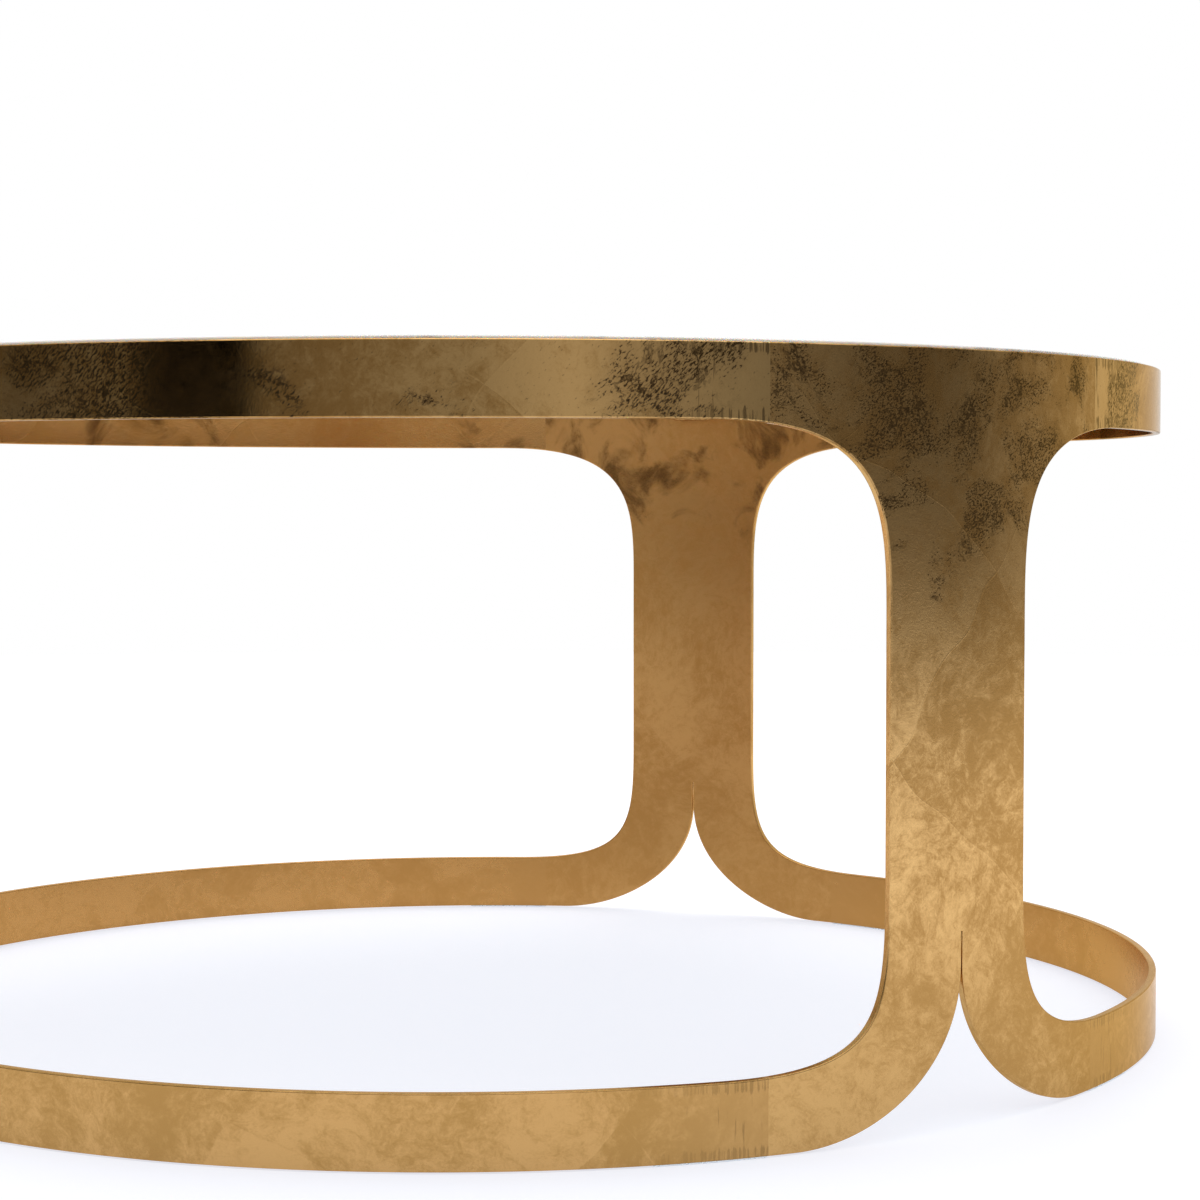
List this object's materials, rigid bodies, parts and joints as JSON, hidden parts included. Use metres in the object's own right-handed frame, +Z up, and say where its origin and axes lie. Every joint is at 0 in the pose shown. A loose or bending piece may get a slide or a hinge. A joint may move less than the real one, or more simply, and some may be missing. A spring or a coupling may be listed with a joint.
{
  "type": "round coffee table",
  "caption": "Low round coffee table: a gold-leafed steel drum frame whose flat strap legs blend into an upper and a base hoop, with a loose stone top set inside the upper hoop.",
  "frame": {"origin": "on the floor, under the middle of the table", "axes": "+Z is up. -Y points out through the middle of leg 1, and the other two legs are 120 degrees round to each side. X=0 is a mirror plane."},
  "size_m": [0.9144, 0.9144, 0.4325],
  "materials": {
    "gold_leafed_steel": "mild steel plate, ground smooth, covered in overlapping metal leaf and lacquered; satin, with dark speckled patina",
    "honed_stone": "white marble with faint grey veins, honed, rims eased",
    "clear_silicone": "translucent soft silicone, smooth"
  },
  "bodies": {
    "frame": {"leg_panel_1": "gold_leafed_steel", "leg_panel_2": "gold_leafed_steel", "leg_panel_3": "gold_leafed_steel", "top_hoop_arc_1": "gold_leafed_steel", "top_hoop_arc_2": "gold_leafed_steel", "top_hoop_arc_3": "gold_leafed_steel", "base_hoop_arc_1": "gold_leafed_steel", "base_hoop_arc_2": "gold_leafed_steel", "base_hoop_arc_3": "gold_leafed_steel", "support_tab_1": "gold_leafed_steel", "support_tab_2": "gold_leafed_steel", "support_tab_3": "gold_leafed_steel", "support_tab_4": "gold_leafed_steel", "support_tab_5": "gold_leafed_steel", "support_tab_6": "gold_leafed_steel", "clear_bumpers": "clear_silicone", "floor_glides": "clear_silicone"},
    "top": {"stone_top": "honed_stone"}
  },
  "joints": [
    {"name": "top_lift", "type": "slide", "parent": "frame", "child": "top", "axis": [0, 0, 1], "range_m": [0, 0.06]}
  ]
}
